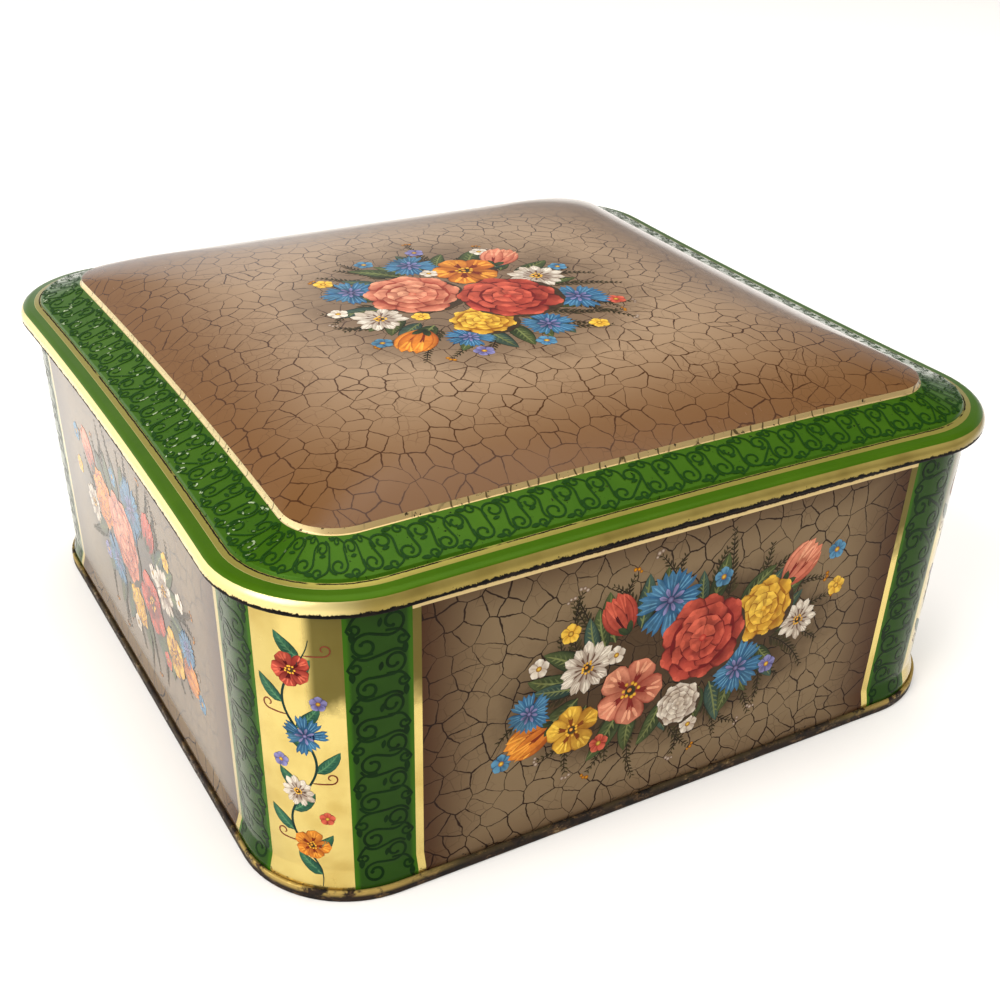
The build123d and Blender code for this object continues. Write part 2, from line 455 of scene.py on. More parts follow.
def bare_tin(name):
    look = Look(name)
    where = look.coords()
    stain = look.rise(look.noise(where, 38.0, 6.0, 0.65), 0.56, 0.74)
    cloud = look.rise(look.noise(where, 55.0, 5.0, 0.6), 0.35, 0.7)
    clean = look.mix(cloud, rgb(176, 172, 160), rgb(140, 134, 120))
    colour = look.mix(look.times(stain, 0.55), clean, rgb(120, 92, 62))
    rust = look.dots(look.warp(where, 500.0, 0.001), 230.0, 0.10, 0.28)
    colour = look.mix(rust, colour, rgb(96, 58, 34))
    drawn = look.noise(look.stretch(where, (1.0, 12.0, 12.0)), 60.0, 3.0)
    rough = look.plus(look.times(drawn, 0.18), look.between(stain, 0.24, 0.5))
    look.set(base_color=colour, roughness=rough, metallic=look.between(stain, 0.95, 0.55))
    look.bump(look.noise(where, 420.0, 3.0), 0.08, 0.0004)
    return look.material


def clouded(look, scale, low, high, light, deep):
    """Two tones in soft clouds."""
    return look.mix(look.rise(look.noise(look.coords(), scale, 4.0), low, high), light, deep)


def lid_material():
    """Printed lid outside the dome: bare curl, gold, green stripe, gold, scroll band, gold line."""
    look = Look("lid_print")
    where = look.coords()
    v = look.attribute("v")
    ragged = look.uneven(where, 560.0, 5.0, 0.8, 2.3)
    # Painted highlight: the gold and the dome's gold line are lighter on the left side, where the light
    # falls.
    painted_lit_side = look.rise(look.axis(where, 0), -0.078, -0.09)
    outer_gold = clouded(look, 70.0, 0.4, 0.7, rgb(152, 134, 70), rgb(130, 112, 54))
    outer_gold = look.mix(painted_lit_side, outer_gold, rgb(226, 206, 140))
    dome_line = look.mix(painted_lit_side, rgb(196, 168, 114), rgb(240, 220, 166))
    colour = look.mix(look.rise(v, SCROLL_HIGH - 0.1, SCROLL_HIGH), outer_gold, dome_line)
    inner_gold = look.mix(look.rise(v, SCROLL_LOW, SCROLL_HIGH), rgb(150, 138, 66), colour)
    colour = look.mix(look.rise(v, GREEN_HIGH, GREEN_HIGH + 0.1), colour, inner_gold)
    stripe = look.span(v, GREEN_LOW, GREEN_HIGH)
    colour = look.mix(stripe, colour, look.mix(look.noise(where, 90.0, 3.0), rgb(50, 84, 2), rgb(66, 98, 6)))
    field = look.span(v, SCROLL_LOW, SCROLL_HIGH)
    field_green = look.mix(look.noise(where, 60.0, 4.0, 0.6), rgb(38, 76, 6), rgb(64, 98, 12))
    colour = look.mix(field, colour, field_green)
    cracks = look.rise(look.edges(look.warp(where, 420.0, 0.0009), 230.0), 0.06, 0.03)
    cracks = look.times(cracks, look.rise(v, SCROLL_HIGH - 0.1, SCROLL_HIGH + 0.1))
    cracks = look.times(cracks, look.rise(look.noise(where, 75.0), 0.44, 0.56))
    colour = look.mix(look.times(cracks, 0.8), colour, rgb(44, 28, 16))
    v_fold = look.plus(v, look.times(ragged, 0.3))
    fold = look.rise(look.math("ABSOLUTE", look.minus(v_fold, SCROLL_LOW - 0.3)), 0.26, 0.12)
    fold = look.times(fold, look.rise(look.noise(where, 120.0, 3.0), 0.3, 0.42))
    curl_edge = look.rise(look.plus(v, ragged), BARE_HIGH + 0.1, BARE_HIGH - 0.1)
    bare = look.most(look.most(chipped(look, 650.0, 0.15), curl_edge), fold)
    colour = look.mix(bare, colour, clouded(look, 260.0, 0.5, 0.7, rgb(11, 7, 5), rgb(40, 31, 24)))
    printed = look.most(stripe, field)
    metal = look.between(bare, look.between(printed, 0.5, 0.2), 0.15)
    gloss, coat = varnish(look)
    rough = look.between(bare, look.plus(gloss, look.between(printed, 0.07, 0.1)), 0.6)
    look.set(base_color=colour, metallic=metal, roughness=rough, coat_weight=look.between(bare, coat, 0.0))
    return look.material


def dome_material():
    look = Look("lid_crackle")
    where = look.coords()
    share = look.rise(look.attribute("edge"), 46.0, 0.0)
    colour = crackle(look, where, rgb(161, 134, 105), rgb(106, 72, 40), rgb(62, 35, 17), share, 188.0)
    away = away_from(look, look.axis(where, 0), look.axis(where, 1), (-0.005, -0.003), (0.058, 0.054))
    colour = look.mix(look.times(look.rise(away, 1.0, 0.55), 0.6), colour, rgb(72, 48, 28))
    gloss, coat = varnish(look, 0.15)
    look.set(base_color=colour, roughness=gloss, coat_weight=coat)
    return look.material


def wall_material():
    """Printed wall: gold corner panel, scroll bands, gold strips, crackle panels and gold lines."""
    look = Look("wall_print")
    where = look.coords()
    x, y = look.axis(where, 0), look.axis(where, 1)
    d, z = look.attribute("d"), look.attribute("z")
    from_strip = look.minus(d, STRIP_END)
    on_side = look.math("GREATER_THAN", look.math("ABSOLUTE", x), look.math("ABSOLUTE", y))

    # Crackle panel
    in_height = look.least(look.minus(z, FOOT_LINE), look.minus(TOP_LINE_LOW, z))
    in_panel = look.least(from_strip, in_height)
    panel = look.rise(in_panel, -0.05, 0.05)
    share = look.most(look.rise(from_strip, 20.0, -4.0), look.times(look.rise(in_panel, 9.0, -4.0), 0.65))
    along = look.between(on_side, look.plus(x, y), look.minus(y, look.times(x, 3.0)))
    flat = look.add("ShaderNodeCombineXYZ", {0: along, 1: look.times(z, MM)}).outputs[0]
    ground = crackle(look, flat, rgb(127, 106, 78), rgb(64, 35, 17), rgb(30, 15, 8), share, 178.0)
    halo = look.rise(away_from(look, d, z, (QUARTER / 2, 40.0), (57.0, 28.0)), 1.0, 0.6)
    ground = look.stain(look.times(halo, 0.85), ground, rgb(126, 106, 88))

    # Scroll bands
    band = look.span(d, BAND_START, BAND_END)
    depth = look.least(look.minus(d, BAND_START), look.minus(BAND_END, d))
    green = look.mix(look.noise(where, 70.0, 3.0), rgb(26, 54, 10), rgb(44, 76, 18))
    green = look.mix(look.rise(depth, 1.6, 0.5), green, rgb(50, 92, 10))

    # Gold, with painted shade and a painted dark reflection near the lid on the sides' half of a corner, and
    # a pale line over the panel
    gold = clouded(look, 70.0, 0.4, 0.7, rgb(214, 192, 118), rgb(194, 168, 94))
    cloud = look.times(look.noise(where, 90.0, 4.0, 0.6), 16.0)
    # Painted shade and dark reflection: the gold darkens and loses its metal towards the lid, under its
    # overhang.
    painted_shade_and_reflection = look.times(look.rise(look.plus(z, cloud), 58.0, 66.0), look.rise(d, 1.5, 4.5))
    painted_shade_and_reflection = look.times(painted_shade_and_reflection, look.between(on_side, 0.92, 0.15))
    gold = look.mix(painted_shade_and_reflection, gold, rgb(88, 78, 30))
    past_band = look.rise(d, BAND_END, BAND_END + 0.1)
    top_line = look.times(look.rise(z, TOP_LINE_LOW - 0.2, TOP_LINE_LOW), past_band)
    gold = look.mix(top_line, gold, rgb(224, 196, 138))
    colour = look.mix(panel, look.mix(band, gold, green), ground)

    # Wear, and a painted shadow on the wall under the lid
    ragged = look.uneven(where, 560.0, 5.0, 0.8, 1.6)
    # Above the pale line the wall is painted dark up to the lid, its edge ragged: a painted shadow of the
    # lid's overhang.
    shadow_edge_z = look.plus(z, look.times(ragged, 0.6))
    painted_lid_shadow = look.times(look.rise(shadow_edge_z, TOP_LINE_HIGH - 0.1, TOP_LINE_HIGH + 0.1), past_band)
    strip_edge = look.rise(look.plus(look.math("ABSOLUTE", from_strip), ragged), -0.12, -0.3)
    # The dark marks are chips, worn strip edges and the painted shadow under the lid.
    chips = look.most(chipped(look, 600.0, 0.2), look.most(painted_lid_shadow, strip_edge))
    colour = look.mix(chips, colour, rgb(34, 22, 15))
    gold_metal = look.between(look.most(painted_shade_and_reflection, top_line), 0.88, 0.05)
    metal = look.between(chips, look.between(look.most(band, panel), gold_metal, 0.0), 0.3)
    gloss, coat = varnish(look)
    rough = look.between(chips, gloss, 0.5)
    look.set(base_color=colour, metallic=metal, roughness=rough, coat_weight=look.between(chips, coat, 0.0))
    return look.material


def worn_seam_material():
    """Gold lacquer rubbed down to brown tinplate, left whole only round the corners."""
    look = Look("worn_seam")
    where = look.coords()
    rub_and_glint = look.noise(look.stretch(where, (1.0, 1.0, 2.2)), 260.0, 6.0, 0.75)
    colour = look.mix(look.rise(rub_and_glint, 0.3, 0.38), rgb(150, 134, 100), rgb(92, 68, 40))
    colour = look.mix(look.rise(rub_and_glint, 0.4, 0.48), colour, rgb(40, 27, 18))
    colour = look.mix(look.rise(look.noise(where, 420.0, 4.0, 0.7), 0.5, 0.58), colour, rgb(22, 15, 11))
    sides = look.vector_math("ABSOLUTE", {0: where})
    at_corner = look.rise(look.least(look.axis(sides, 0), look.axis(sides, 1)), 0.055, 0.08)
    left_gold = look.times(look.rise(look.axis(where, 2), 0.0014, 0.0026),
                           look.rise(look.noise(where, 150.0, 4.0, 0.65), 0.42, 0.52))
    left_gold = look.times(left_gold, look.between(at_corner, 0.06, 0.9))
    colour = look.mix(left_gold, colour, rgb(190, 162, 92))
    metal = look.between(look.most(look.rise(rub_and_glint, 0.44, 0.38), left_gold), 0.25, 0.9)
    rough = look.between(look.rise(rub_and_glint, 0.4, 0.48), 0.3, 0.65)
    look.set(base_color=colour, metallic=metal, roughness=rough, specular_ior_level=0.2)
    look.bump(rub_and_glint, 0.25, 0.0004)
    return look.material


def ink_material():
    """Varnished ink in the colours of the mesh's paint, dulled in patches."""
    look = Look("printed_ink")
    where = look.coords()
    grain = look.rise(look.noise(where, 520.0, 3.0, 0.7), 0.45, 0.75)
    cloud = look.rise(look.noise(where, 150.0, 3.0, 0.6), 0.42, 0.68)
    colour = look.stain(look.times(grain, 0.35), look.attribute("paint", "Color"), rgb(150, 130, 110))
    colour = look.stain(look.times(cloud, 0.45), colour, rgb(168, 140, 116))
    gloss, coat = varnish(look)
    look.set(base_color=colour, roughness=gloss, coat_weight=look.times(coat, 0.6))
    return look.material


def raised_ink_material():
    """Thick ink, with small painted glints on the lid's left border: pale, glossy, partly metallic patches
    where the light falls.
    """
    look = Look("raised_ink")
    where = look.coords()
    # Painted glints: pale patches on the left border only, kept off the front corner.
    rub_and_glint = look.rise(look.noise(where, 480.0, 2.0, 0.6), 0.61, 0.68)
    on_left = look.rise(look.axis(where, 0), -0.08, -0.09)
    behind_corner = look.rise(look.axis(where, 1), -0.088, -0.07)
    rub_and_glint = look.times(rub_and_glint, look.times(on_left, behind_corner))
    colour = look.mix(rub_and_glint, look.attribute("paint", "Color"), rgb(176, 190, 150))
    look.set(base_color=colour, roughness=look.between(rub_and_glint, 0.4, 0.16), metallic=look.times(rub_and_glint, 0.4),
             specular_ior_level=0.07)
    look.bump(look.noise(where, 520.0, 3.0, 0.6), 0.35, 0.0005)
    return look.material


# Section of the lid, outside in, and the distances along it at which the print changes
lid_line = arc((HINGE_OUT, HINGE_HEIGHT), 0.95, -270, 270, 15)
lid_line += arc((1.0, 81.0), 2.75, 0, 84, 6)[1:]
lid_line += rounded([(0.4, 83.76), (-2.2, 84.28), (-2.5, 84.95), (-13.9, 88.45), (-14.3, 89.75)], 0.35, 20)
lid_run = lengths(lid_line)


def lid_v(out, height):
    """Distance along the lid's section at which a place lies."""
    return min(zip(lid_line, lid_run), key=lambda pair: hypot(pair[0][0] - out, pair[0][1] - height))[1]


BARE_HIGH = lid_v(3.75, 80.4) + 0.35
GREEN_LOW = lid_v(*arc((1.0, 81.0), 2.75, 0, 50, 50)[-1])
GREEN_HIGH = lid_v(-0.4, 83.9) + 0.7
SCROLL_LOW = lid_v(-2.2, 84.28) - 0.1
SCROLL_HIGH = lid_v(-13.9, 88.45) - 0.45

# Section of the wall, and the print's places along a quarter from the middle of a corner, and up it
wall_line = rounded([(0.95, 0.6), (0.95, 4.4), (-0.15, 8.0), (-0.15, NECK_LOW), (-1.75, 81.25)], 3.0, 8)
wall_line += arc((-2.95, NECK_TOP), 1.1, -8, 268, 15)
BAND_START, BAND_END = 10.35, 25.4
STRIP_END = 27.4
FOOT_LINE = 2.6
TOP_LINE_LOW, TOP_LINE_HIGH = 76.4, 77.3

lid_print = lid_material()
lid_crackle = dome_material()
wall_print = wall_material()
worn_seam = worn_seam_material()
inner_tin = bare_tin("inner_tin")
hinge_tin = bare_tin("hinge_tin")
printed_ink = ink_material()
raised_ink = raised_ink_material()

body_plan = Plan(HALF, CORNER, (0, 0, 0, 0))
lid_plan = Plan(HALF, CORNER, (LID_HOLLOW, 0, LID_HOLLOW, LID_HOLLOW))
lid_stations = lid_plan.counted_stations()
body_stations = body_plan.stations()


# Lid
DOME_INSETS = [0.0, 0.15, 0.4, 0.8, 1.4, 2.2, 3.2, 4.4, 5.8, 7.4, 9.2, 11.2, 13.4, 15.8, 18.4, 21.2]
DOME_INSETS += [24.0 + 2.6 * number for number in range(23)] + [83.2]
CURL_ROWS = 6


def dome_ring(inset, drop):
    """The dome's outline at a distance inwards from its edge."""
    share = inset / DOME_HALF
    half = DOME_HALF - inset
    radius = min(DOME_RADIUS + 0.85 * share * (half - DOME_RADIUS), 0.95 * half)
    hollow = LID_HOLLOW * (1 - share) * (half - radius) / (DOME_HALF - DOME_RADIUS)
    plan = Plan(half, radius, (hollow, 0, hollow, hollow))
    height = DOME_EDGE + DOME_RISE * (1 - (1 - share) ** DOME_POWER)
    return section_ring(plan.counted_stations(), 0, height - drop)


def fold_wear(out, height):
    """1 on the lid's folds, 0 from about a millimetre off."""
    away = [abs(height - 80.9) * 1.2]
    for fold_out, fold_height, share in ((-2.35, 84.6, 1.0), (-13.9, 88.5, 1.6), (-14.3, 89.9, 1.6)):
        away.append(hypot(out - fold_out, height - fold_height) * share)
    return max(0.0, 1 - min(away) / 1.2)


def build_lid():
    rings, layers = [], {"edge": [], "v": [], "wear": []}

    def push(ring, edge, v, wear):
        rings.append(ring)
        for name, value in (("edge", edge), ("v", v), ("wear", wear)):
            layers[name].extend([value] * len(ring))

    for inset in reversed(DOME_INSETS[1:]):
        push(dome_ring(inset, 0.0), inset, lid_run[-1] + inset, max(0.0, 1 - inset / 0.8))
    for (out, height), run in zip(reversed(offset(lid_line, -SHEET / 2)), reversed(lid_run)):
        push(section_ring(lid_stations, out, height), 0.0, run, fold_wear(out, height))
    printed_rows = len(rings) - 1 + CURL_ROWS
    for (out, height), run in zip(offset(lid_line, SHEET / 2), lid_run):
        push(section_ring(lid_stations, out, height), 0.0, run, 0.0)
    for inset in DOME_INSETS[1:]:
        push(dome_ring(inset, SHEET), inset, 0.0, 0.0)
    points, faces = ring_mesh(rings)
    made = new_piece("lid_skin", points, faces, "lid", [lid_print, lid_crackle, inner_tin])
    for name, at_middle in (("edge", 85.0), ("v", 0.0), ("wear", 0.0)):
        float_layer(made, name, layers[name] + [at_middle] * 2)
    slots = []
    for row in range(len(rings) - 1):
        on_border = 0 if row < printed_rows else 2
        slots.append(1 if row < len(DOME_INSETS) - 1 else on_border)
    made.data.polygons.foreach_set("material_index", [slot for slot in slots + [1, 2] for point in rings[0]])
    for across in (-LUG_PLACE, LUG_PLACE):
        ends = [hinge_circle(across + side * NOTCH_HALF, NOTCH_RADIUS, 40) for side in (-1, 1)]
        cutter = mesh_object("notch", *ring_mesh(ends))
        face_outwards(cutter)
        cut(made, cutter)
    return finish_skin(made, "lid_shell")


def hinge_circle(x, radius, count):
    """A circle round the hinge's axis."""
    axis = (HALF + HINGE_OUT, HINGE_HEIGHT)
    circle = [polar(axis, radius, 2 * pi * number / count) for number in range(count)]
    return [(x, y, z) for y, z in circle]


# Wall and its lock seam at the back
BARE_ROWS = 12
GROOVE_DEPTH = 0.16


def wall_d(run):
    """Distance along the wall from the middle of the nearest corner."""
    half_run = (run - SIDE / 2) % QUARTER
    return QUARTER / 2 - min(half_run, QUARTER - half_run)


def wall_wear(height):
    return max(0.0, 1 - abs(height - 3.6) / 1.6, 1 - abs(height - 79.4) / 1.4 if height > 77 else 0.0)


def build_wall():
    stations = body_plan.stations([(1, 0.5 + (SEAM_GROOVE + x) / SIDE) for x in (-0.15, 0.0, 0.15)])
    outer = offset(wall_line, -SHEET / 2)
    section = outer + offset(wall_line, SHEET / 2)[::-1]
    points, faces = ring_mesh([section_ring(stations, out, height) for out, height in section], "joined")
    made = new_piece("wall_skin", points, faces, "box", [wall_print, inner_tin])
    face_outwards(made)
    printed_rows = len(outer) - BARE_ROWS
    slots = [int(row >= printed_rows) for row in range(len(section)) for station in stations]
    made.data.polygons.foreach_set("material_index", slots)
    float_layer(made, "d", [wall_d(run) for place in section for p, n, run in stations])
    float_layer(made, "z", [height for out, height in section for station in stations])
    float_layer(made, "wear", [wall_wear(height) for out, height in section for station in stations])
    finish_skin(made, "body_wall")
    for vertex in made.data.vertices:
        x, y, z = (value / MM for value in vertex.co)
        if y > 99.9 and abs(x - SEAM_GROOVE) < 0.01 and 9 < z < 78:
            vertex.co.y -= GROOVE_DEPTH * MM
    profile = [(-8.2, 99.72), (-8.3, 99.5), (-8.15, 99.22), (-7.8, 99.1), (-2.95, 99.1), (-2.6, 99.22),
               (-2.45, 99.5), (-2.55, 99.72)]
    points, faces = ring_mesh([[(x, y, height) for x, y in profile] for height in (5.6, 20, 40, 60, 77.6)])
    fold = new_piece("lock_seam", points, faces, "box", [inner_tin])
    face_outwards(fold)
    finish_skin(fold, None)


# Bottom and double seam
def build_seam():
    """Double seam and countersunk bottom in one sheet, rubbed at the seam and bare on the panel."""
    line = rounded([(1.27, 1.1), (1.27, 3.05), (1.91, 3.05), (1.91, 0.15), (0.63, 0.15), (0.63, 3.25),
                    (-7.05, 3.25), (-11.05, 3.95), (-17.0, 3.95)], 0.3, 18)
    section = offset(line, SHEET / 2)[::-1] + offset(line, -SHEET / 2)
    points, faces = ring_mesh([section_ring(body_stations, out, height) for out, height in section])
    made = new_piece("seam_skin", points, faces, "box", [worn_seam, inner_tin])
    slots = [int(max(here[0], beyond[0]) < PANEL_EDGE) for here, beyond in zip(section, section[1:])]
    slots = [slot for slot in slots + [1, 1] for station in body_stations]
    made.data.polygons.foreach_set("material_index", slots)
    face_outwards(made)
    finish_skin(made, "bottom_plate")


# Hinge
def build_lug(name, across):
    """Tab on the back wall, rolled round the wire, its lower corners rounded."""
    bend_height = HINGE_HEIGHT - LUG_DROP
    low = bend_height - LUG_LEAF
    away = HINGE_OUT - LUG_OUT
    slant = atan2(LUG_DROP, away) - asin(LOOP_RADIUS / hypot(away, LUG_DROP))
    loop = arc((HINGE_OUT, HINGE_HEIGHT), LOOP_RADIUS, slant * 180 / pi - 90, 295, 12)
    line = rounded([(LUG_OUT, low), (LUG_OUT, bend_height), loop[0]], 1.5, 10)[:-1] + loop
    section = offset(line, SHEET / 2) + offset(line, -SHEET / 2)[::-1]
    columns = []
    for past in (5.0, 4.6, 4.0, 3.2, 2.2, 1.0, 0.0):
        drop = LUG_ROUNDING - (LUG_ROUNDING ** 2 - past * past) ** 0.5
        columns.append((LUG_ROUNDING - LUG_HALF - past, drop))
    columns += [(-x, drop) for x, drop in reversed(columns)]
    rings = []
    for x, drop in columns:
        ring = []
        for out, height in section:
            share = max(0.0, 1 - (height - low) / 6.0) if out < 1.0 else 0.0
            ring.append((across + x, HALF + out, height + drop * share))
        rings.append(ring)
    points, faces = ring_mesh(rings, "open")
    last = (len(columns) - 1) * len(section)
    for a in range(len(line) - 1):
        b = len(section) - 1 - a
        faces.append((a, a + 1, b - 1, b))
        faces.append((last + b, last + b - 1, last + a + 1, last + a))
    made = new_piece(name + "_skin", points, faces, "box", [hinge_tin])
    face_outwards(made)
    finish_skin(made, name)


def build_wire():
    low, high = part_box("hinge_wire")
    radius, start = (high[1] - low[1]) / 2 / MM, low[0] / MM
    ends = [(start, 0.7), (start + 0.15, 0.93), (start + 0.4, 1.0)]
    ends += [(-x, share) for x, share in reversed(ends)]
    points, faces = ring_mesh([hinge_circle(x, radius * share, 32) for x, share in ends])
    made = new_piece("hinge_wire_skin", points, faces, "lid", [hinge_tin])
    face_outwards(made)
    finish_skin(made, "hinge_wire")


lid_skin = build_lid()
build_wall()
build_seam()
build_lug("hinge_lug_left", -LUG_PLACE)
build_lug("hinge_lug_right", LUG_PLACE)
build_wire()


# Print: ink shapes laid on the tin, gathered by colour layer into one thin mesh a surface
chance = random.Random(7)
vary = chance.uniform


def mixed(a, b, share):
    return tuple(x + (y - x) * share for x, y in zip(a, b))


class Print:
    """Painted shapes in a surface's own (along, up) millimetres, each just above what it covers."""

    # Squares in which layers are counted, height of the ground under them, and of each layer
    CELL, BASE, RISE = 1.6, 0.03, 0.0004

    def __init__(self, place=None):
        self.points, self.faces, self.colours = [], [], []
        self.turn_to(place)

    def turn_to(self, place):
        """Goes on at another place, where nothing is painted yet."""
        self.place, self.levels = place, {}

    def rows(self, rows):
        """Quads between rows of (along, up, colour, extra lift)."""
        width = len(rows[0])
        first = len(self.points)
        cells = {(round(x / self.CELL), round(y / self.CELL)) for row in rows for x, y, colour, extra in row}
        level = 1 + max(self.levels.get(cell, 0) for cell in cells)
        self.levels.update(dict.fromkeys(cells, level))
        for row in rows:
            for x, y, colour, extra in row:
                self.points.append(self.place(x, y, self.BASE + self.RISE * level + extra))
                self.colours.append(colour)
        for row in range(len(rows) - 1):
            for column in range(width - 1):
                a = first + row * width + column
                self.faces.append((a, a + 1, a + width + 1, a + width))

    def stroke(self, path, width, colour, crown=0.0, taper=(0.3, 0.3)):
        """A line of ink whose middle may stand up a little."""
        rows, last = [], len(path) - 1
        for number, (x, y) in enumerate(path):
            ahead, behind = path[min(number + 1, last)], path[max(number - 1, 0)]
            dx, dy = ahead[0] - behind[0], ahead[1] - behind[1]
            size = hypot(dx, dy) or 1.0
            t = number / last
            half = width * min(1.0, taper[0] + 5 * t, taper[1] + 5 * (1 - t)) / 2
            nx, ny = -dy / size * half, dx / size * half
            rows.append([(x - nx, y - ny, colour, 0.0), (x, y, colour, crown), (x + nx, y + ny, colour, 0.0)])
        self.rows(rows)

    def blade(self, base, angle, length, width, inner, outer, rim, widest=0.62, blunt=0.6, bend=0.0,
              ragged=0.0, cover=0.0):
        """A petal or leaf from its base along an angle. Its shading starts past the part that is covered."""
        power = -0.6931 / log(widest)
        count = max(6, ceil(length / 1.5))
        streaks = [rim if chance.random() < 0.4 else outer for column in range(7)]
        rows, spot = [], base
        for number in range(count + 1):
            t = number / count
            turn = angle + bend * t
            half = width / 2 * max(0.0, sin(pi * min(t, 0.999) ** power)) ** blunt
            if ragged:
                half = width / 2 * (0.25 + 0.75 * min(1.0, t * 1.25))
            body = mixed(inner, outer, max(0.0, t - cover) / (1 - cover))
            row = []
            for column, share in enumerate((-1.0, -0.8, -0.4, 0.0, 0.4, 0.8, 1.0)):
                push = ragged * (column % 2 * 2 - 1) if number == count else 0.0
                x = spot[0] - sin(turn) * half * share + cos(turn) * push
                y = spot[1] + cos(turn) * half * share + sin(turn) * push
                tint = mixed(body, rim, 0.9)
                if abs(share) < 1:
                    tint = mixed(body, streaks[column], 0.35 * sin(pi * t))
                row.append((x, y, tint, 0.0))
            rows.append(row)
            spot = polar(spot, length / count, turn)
        self.rows(rows)

    def disc(self, centre, radius, inner, outer):
        rows = []
        for share in (0.02, 0.55, 0.85, 1.0):
            tint = mixed(inner, outer, share)
            rim = [polar(centre, radius * share, 2 * pi * number / 14) for number in range(15)]
            rows.append([(x, y, tint, 0.0) for x, y in rim])
        self.rows(rows)

    def build(self, name, body, material):
        made = new_piece(name, self.points, self.faces, body, [material])
        layer = made.data.attributes.new("paint", "FLOAT_COLOR", "POINT")
        layer.data.foreach_set("color", [c for colour in self.colours for c in colour])


def curve_path(points, step=0.7):
    """A smooth line through a few points."""
    path = []
    for number, (p1, p2) in enumerate(zip(points, points[1:])):
        p0, p3 = points[max(number - 1, 0)], points[min(number + 2, len(points) - 1)]
        count = max(2, ceil(hypot(p2[0] - p1[0], p2[1] - p1[1]) / step))
        for k in range(count):
            t = k / count
            path.append(tuple(0.5 * (2 * b + (c - a) * t + (2 * a - 5 * b + 4 * c - d) * t * t
                                     + (3 * b - a - 3 * c + d) * t ** 3)
                              for a, b, c, d in zip(p0, p1, p2, p3)))
    path.append(points[-1])
    return path


# Painted colours, each as its middle, dark and light tone
def tones(*colours):
    return [rgb(*colour) for colour in colours]


REDS = tones((166, 36, 32), (74, 8, 12), (216, 104, 78))
SALMONS = tones((208, 96, 70), (122, 34, 26), (232, 166, 130))
ORANGES = tones((214, 104, 30), (116, 40, 14), (236, 164, 60))
YELLOWS = tones((216, 150, 28), (120, 58, 12), (238, 198, 76))
WHITES = tones((196, 180, 158), (104, 76, 62), (230, 220, 202))
BLUES = tones((34, 84, 126), (12, 28, 60), (96, 148, 176))
VIOLETS = tones((84, 78, 136), (34, 28, 70), (140, 136, 180))
LEAVES = tones((60, 74, 40), (24, 32, 20), (116, 122, 70))
BLUE_LEAVES = tones((40, 72, 72), (24, 32, 20), (116, 122, 70))
VINE_LEAVES = tones((40, 92, 70), (20, 50, 44), (84, 130, 90))
OLIVE, OLIVE_DARK = tones((70, 60, 30), (34, 26, 16))
FERN, FERN_DARK = tones((74, 66, 36), (40, 32, 18))
SHADOW, SHADOW_RIM = tones((44, 32, 20), (66, 50, 33))
SCROLL_INK, WALL_INK, TENDRIL_INK = tones((20, 54, 4), (8, 40, 2), (120, 60, 40))
YELLOW, YELLOW_DARK, YELLOW_LIGHT = YELLOWS


def lit(family, sun):
    """A family's middle tone, lighter where sun is above 0 and darker below."""
    mid, dark, light = family
    return mixed(mid, light, sun) if sun > 0 else mixed(mid, dark, -sun)


# Flowers
def petal(ink, at, angle, length, width, family, widest, blunt, bend, deep):
    """A petal in brush strokes: its body, a shadow at the base and light streaks towards the tip."""
    dark, light = family[1:]
    body = lit(family, 0.4 * cos(angle - 2.2) + vary(-0.18, 0.18))
    ink.blade(at, angle, length, width, mixed(dark, body, deep), mixed(body, light, 0.45),
              mixed(dark, body, 0.25), widest, blunt, bend)

    def streak(near, far, lean, wide, tint):
        path = []
        for share in (near, (near + far) / 2, far):
            path.append(polar(at, length * share, angle + (lean + bend / 2) * share))
        ink.stroke(curve_path(path, 1.0), wide, tint, taper=(0.1, 0.1))

    for number in (-1, 0, 1):
        lean = number * 0.32 * width / length + vary(-0.05, 0.05)
        streak(0.15, 0.15 + 0.85 * vary(0.35, 0.55), lean, width * 0.08, dark)
        streak(1 - 0.85 * vary(0.45, 0.6), vary(0.88, 0.96), lean,
               width * vary(0.07, 0.13), mixed(body, light, vary(0.7, 1.0)))


def stamens(ink, at, radius, count=9):
    ink.disc(at, radius * 0.62, OLIVE_DARK, OLIVE)
    for number in range(count):
        angle = 2 * pi * number / count + vary(-0.2, 0.2)
        ink.disc(polar(at, radius * vary(0.6, 1.0), angle), radius * 0.2, YELLOW_LIGHT, YELLOW)
    ink.disc((at[0] - radius * 0.1, at[1] + radius * 0.1), radius * 0.25, YELLOW_LIGHT, ORANGES[0])


def shade(ink, at, radius):
    """The shadow that a bloom throws to its lower right."""
    ink.disc((at[0] + radius * 0.07, at[1] - radius * 0.09), radius, SHADOW, SHADOW_RIM)


